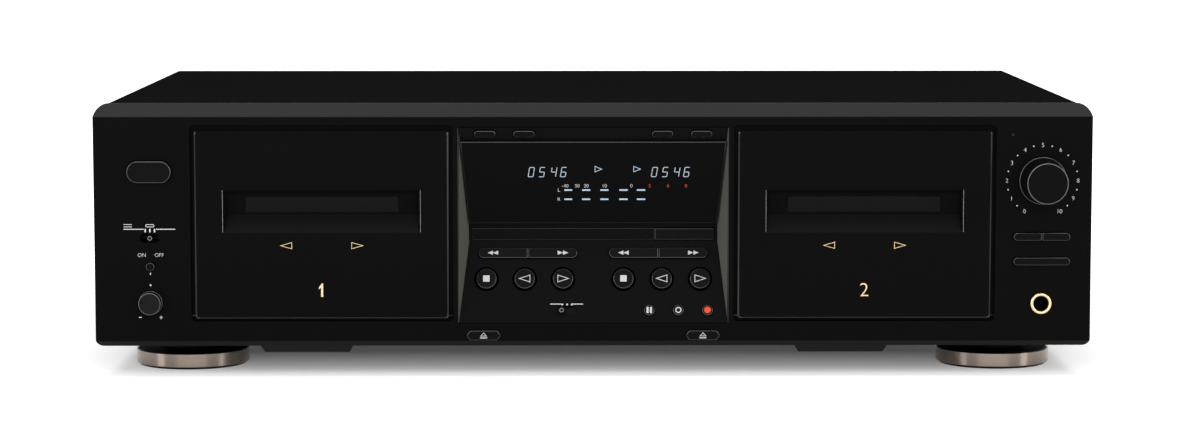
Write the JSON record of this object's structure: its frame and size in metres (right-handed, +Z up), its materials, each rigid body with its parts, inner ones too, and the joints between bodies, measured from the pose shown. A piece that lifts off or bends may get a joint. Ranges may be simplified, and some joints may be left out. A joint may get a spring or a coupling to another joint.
{
  "type": "dual cassette deck",
  "caption": "Full-width hi-fi cassette duplicator: slim dark case, two hinged cassette doors, sloped display and key recess, level knob and round metal-rimmed feet.",
  "frame": {"origin": "on the floor under the middle of the whole deck", "axes": "+X to the right as the user faces the front, +Y from the front panel to the back, +Z up"},
  "size_m": [0.43, 0.291, 0.1178],
  "materials": {
    "panel_black": "satin moulded plastic, dark grey",
    "insert_black": "satin moulded plastic, dark grey with lighter cheeks",
    "cover_black": "fine textured dark paint on folded steel",
    "chassis_steel": "zinc plated sheet steel",
    "rear_black": "dark paint on sheet steel",
    "screw_black": "black finished steel",
    "foot_black": "dark moulded plastic with a soft pad",
    "ring_metal": "turned champagne anodised trim",
    "display_dark": "dark smoked display plate",
    "lamp_red": "small tinted lamp",
    "socket_gold": "gold plated bush",
    "board_green": "coated circuit board",
    "core_iron": "laminated iron and wound coil",
    "line_sockets": "gold coloured sleeves on a dark block",
    "gland_black": "dark moulded bush",
    "knob_black": "satin dark knob",
    "mechanism_steel": "stamped steel plate",
    "door_black": "semi gloss dark plastic with pale legends",
    "pane_smoked": "clear plastic pane, lightly smoked",
    "holder_black": "dark moulded plastic",
    "head_steel": "polished steel heads on a dark base",
    "hub_black": "dark moulded plastic",
    "key_black": "satin dark keys with pale icons"
  },
  "bodies": {
    "case": {"front_panel": "panel_black", "centre_panel": "insert_black", "top_cover": "cover_black", "bottom_chassis": "chassis_steel", "rear_panel": "rear_black", "cover_screws": "screw_black", "front_feet": "foot_black", "foot_rings": "ring_metal", "rear_feet": "foot_black", "display_lens": "display_dark", "level_lamp": "lamp_red", "phones_jack": "socket_gold", "main_circuit_board": "board_green", "power_transformer": "core_iron", "line_jacks": "line_sockets", "cord_gland": "gland_black", "tape_mechanism_a": "mechanism_steel", "tape_mechanism_b": "mechanism_steel"},
    "door_a": {"cassette_door_a": "door_black", "door_window_a": "pane_smoked", "cassette_holder_a": "holder_black"},
    "head_block_a": {"head_block_a": "head_steel"},
    "reel_hub_a_left": {"reel_hub_a_left": "hub_black"},
    "reel_hub_a_right": {"reel_hub_a_right": "hub_black"},
    "door_b": {"cassette_door_b": "door_black", "door_window_b": "pane_smoked", "cassette_holder_b": "holder_black"},
    "head_block_b": {"head_block_b": "head_steel"},
    "reel_hub_b_left": {"reel_hub_b_left": "hub_black"},
    "reel_hub_b_right": {"reel_hub_b_right": "hub_black"},
    "play_button_a": {"play_button_a": "key_black"},
    "reverse_button_a": {"reverse_button_a": "key_black"},
    "stop_button_a": {"stop_button_a": "key_black"},
    "rewind_button_a": {"rewind_button_a": "key_black"},
    "forward_button_a": {"forward_button_a": "key_black"},
    "reset_button_a": {"reset_button_a": "key_black"},
    "memory_button_a": {"memory_button_a": "key_black"},
    "eject_button_a": {"eject_button_a": "key_black"},
    "play_button_b": {"play_button_b": "key_black"},
    "reverse_button_b": {"reverse_button_b": "key_black"},
    "stop_button_b": {"stop_button_b": "key_black"},
    "rewind_button_b": {"rewind_button_b": "key_black"},
    "forward_button_b": {"forward_button_b": "key_black"},
    "reset_button_b": {"reset_button_b": "key_black"},
    "memory_button_b": {"memory_button_b": "key_black"},
    "eject_button_b": {"eject_button_b": "key_black"},
    "pause_button": {"pause_button": "key_black"},
    "rec_mute_button": {"rec_mute_button": "key_black"},
    "record_button": {"record_button": "key_black"},
    "dubbing_button": {"dubbing_button": "key_black"},
    "power_button": {"power_button": "key_black"},
    "pitch_switch_button": {"pitch_switch_button": "key_black"},
    "fader_button": {"fader_button": "key_black"},
    "auto_level_button": {"auto_level_button": "key_black"},
    "synchro_button": {"synchro_button": "key_black"},
    "direction_switch": {"direction_switch": "key_black"},
    "noise_reduction_switch": {"noise_reduction_switch": "key_black"},
    "rec_level_knob": {"rec_level_knob": "knob_black"},
    "pitch_knob": {"pitch_knob": "knob_black"}
  },
  "joints": [
    {"name": "play_a_press", "type": "slide", "parent": "case", "child": "play_button_a", "axis": [0, 0.9433, -0.332], "range_m": [0, 0.0009], "stiffness_N_per_m": 300, "springref_m": -0.0008},
    {"name": "reverse_a_press", "type": "slide", "parent": "case", "child": "reverse_button_a", "axis": [0, 0.9433, -0.332], "range_m": [0, 0.0009], "stiffness_N_per_m": 300, "springref_m": -0.0008},
    {"name": "stop_a_press", "type": "slide", "parent": "case", "child": "stop_button_a", "axis": [0, 0.9433, -0.332], "range_m": [0, 0.0009], "stiffness_N_per_m": 300, "springref_m": -0.0008},
    {"name": "rewind_a_press", "type": "slide", "parent": "case", "child": "rewind_button_a", "axis": [0, 0.9433, -0.332], "range_m": [0, 0.0009], "stiffness_N_per_m": 300, "springref_m": -0.0008},
    {"name": "forward_a_press", "type": "slide", "parent": "case", "child": "forward_button_a", "axis": [0, 0.9433, -0.332], "range_m": [0, 0.0009], "stiffness_N_per_m": 300, "springref_m": -0.0008},
    {"name": "reset_a_press", "type": "slide", "parent": "case", "child": "reset_button_a", "axis": [0, 0.962, 0.2729], "range_m": [0, 0.0009], "stiffness_N_per_m": 300, "springref_m": -0.0008},
    {"name": "memory_a_press", "type": "slide", "parent": "case", "child": "memory_button_a", "axis": [0, 0.962, 0.2729], "range_m": [0, 0.0009], "stiffness_N_per_m": 300, "springref_m": -0.0008},
    {"name": "eject_a_press", "type": "slide", "parent": "case", "child": "eject_button_a", "axis": [0, 1, 0], "range_m": [0, 0.0009], "stiffness_N_per_m": 300, "springref_m": -0.0008},
    {"name": "play_b_press", "type": "slide", "parent": "case", "child": "play_button_b", "axis": [0, 0.9433, -0.332], "range_m": [0, 0.0009], "stiffness_N_per_m": 300, "springref_m": -0.0008},
    {"name": "reverse_b_press", "type": "slide", "parent": "case", "child": "reverse_button_b", "axis": [0, 0.9433, -0.332], "range_m": [0, 0.0009], "stiffness_N_per_m": 300, "springref_m": -0.0008},
    {"name": "stop_b_press", "type": "slide", "parent": "case", "child": "stop_button_b", "axis": [0, 0.9433, -0.332], "range_m": [0, 0.0009], "stiffness_N_per_m": 300, "springref_m": -0.0008},
    {"name": "rewind_b_press", "type": "slide", "parent": "case", "child": "rewind_button_b", "axis": [0, 0.9433, -0.332], "range_m": [0, 0.0009], "stiffness_N_per_m": 300, "springref_m": -0.0008},
    {"name": "forward_b_press", "type": "slide", "parent": "case", "child": "forward_button_b", "axis": [0, 0.9433, -0.332], "range_m": [0, 0.0009], "stiffness_N_per_m": 300, "springref_m": -0.0008},
    {"name": "reset_b_press", "type": "slide", "parent": "case", "child": "reset_button_b", "axis": [0, 0.962, 0.2729], "range_m": [0, 0.0009], "stiffness_N_per_m": 300, "springref_m": -0.0008},
    {"name": "memory_b_press", "type": "slide", "parent": "case", "child": "memory_button_b", "axis": [0, 0.962, 0.2729], "range_m": [0, 0.0009], "stiffness_N_per_m": 300, "springref_m": -0.0008},
    {"name": "eject_b_press", "type": "slide", "parent": "case", "child": "eject_button_b", "axis": [0, 1, 0], "range_m": [0, 0.0009], "stiffness_N_per_m": 300, "springref_m": -0.0008},
    {"name": "pause_press", "type": "slide", "parent": "case", "child": "pause_button", "axis": [0, 0.9433, -0.332], "range_m": [0, 0.0009], "stiffness_N_per_m": 300, "springref_m": -0.0008},
    {"name": "rec_mute_press", "type": "slide", "parent": "case", "child": "rec_mute_button", "axis": [0, 0.9433, -0.332], "range_m": [0, 0.0009], "stiffness_N_per_m": 300, "springref_m": -0.0008},
    {"name": "record_press", "type": "slide", "parent": "case", "child": "record_button", "axis": [0, 0.9433, -0.332], "range_m": [0, 0.0009], "stiffness_N_per_m": 300, "springref_m": -0.0008},
    {"name": "dubbing_press", "type": "slide", "parent": "case", "child": "dubbing_button", "axis": [0, 1, 0], "range_m": [0, 0.0009], "stiffness_N_per_m": 300, "springref_m": -0.0008},
    {"name": "power_press", "type": "slide", "parent": "case", "child": "power_button", "axis": [0, 1, 0], "range_m": [0, 0.0018], "stiffness_N_per_m": 300, "springref_m": -0.0008},
    {"name": "pitch_switch_press", "type": "slide", "parent": "case", "child": "pitch_switch_button", "axis": [0, 1, 0], "range_m": [0, 0.0009], "stiffness_N_per_m": 300, "springref_m": -0.0008},
    {"name": "fader_press", "type": "slide", "parent": "case", "child": "fader_button", "axis": [0, 1, 0], "range_m": [0, 0.0009], "stiffness_N_per_m": 300, "springref_m": -0.0008},
    {"name": "auto_level_press", "type": "slide", "parent": "case", "child": "auto_level_button", "axis": [0, 1, 0], "range_m": [0, 0.0009], "stiffness_N_per_m": 300, "springref_m": -0.0008},
    {"name": "synchro_press", "type": "slide", "parent": "case", "child": "synchro_button", "axis": [0, 1, 0], "range_m": [0, 0.0009], "stiffness_N_per_m": 300, "springref_m": -0.0008},
    {"name": "direction_slide", "type": "slide", "parent": "case", "child": "direction_switch", "axis": [1, 0, 0], "range_m": [-0.002, 0.002]},
    {"name": "noise_reduction_slide", "type": "slide", "parent": "case", "child": "noise_reduction_switch", "axis": [1, 0, 0], "range_m": [0, 0.0046]},
    {"name": "rec_level_turn", "type": "hinge", "parent": "case", "child": "rec_level_knob", "pos_m": [0.1936, -0.129, 0.0852], "axis": [0, 1, 0], "range_deg": [-20, 280]},
    {"name": "pitch_turn", "type": "hinge", "parent": "case", "child": "pitch_knob", "pos_m": [-0.191, -0.129, 0.0325], "axis": [0, 1, 0], "range_deg": [-71, 229]},
    {"name": "door_a_open", "type": "hinge", "parent": "case", "child": "door_a", "pos_m": [-0.117, -0.1278, 0.0272], "axis": [1, 0, 0], "range_deg": [0, 30]},
    {"name": "head_block_a_rise", "type": "slide", "parent": "case", "child": "head_block_a", "axis": [0, 0, 1], "range_m": [0, 0.005], "stiffness_N_per_m": 300, "springref_m": -0.002},
    {"name": "reel_hub_a_left_spin", "type": "hinge", "parent": "case", "child": "reel_hub_a_left", "pos_m": [-0.13825, -0.108, 0.071], "axis": [0, 1, 0], "continuous": true},
    {"name": "reel_hub_a_right_spin", "type": "hinge", "parent": "case", "child": "reel_hub_a_right", "pos_m": [-0.09575, -0.108, 0.071], "axis": [0, 1, 0], "continuous": true},
    {"name": "door_b_open", "type": "hinge", "parent": "case", "child": "door_b", "pos_m": [0.117, -0.1278, 0.0272], "axis": [1, 0, 0], "range_deg": [0, 30]},
    {"name": "head_block_b_rise", "type": "slide", "parent": "case", "child": "head_block_b", "axis": [0, 0, 1], "range_m": [0, 0.005], "stiffness_N_per_m": 300, "springref_m": -0.002},
    {"name": "reel_hub_b_left_spin", "type": "hinge", "parent": "case", "child": "reel_hub_b_left", "pos_m": [0.09575, -0.108, 0.071], "axis": [0, 1, 0], "continuous": true},
    {"name": "reel_hub_b_right_spin", "type": "hinge", "parent": "case", "child": "reel_hub_b_right", "pos_m": [0.13825, -0.108, 0.071], "axis": [0, 1, 0], "continuous": true}
  ]
}
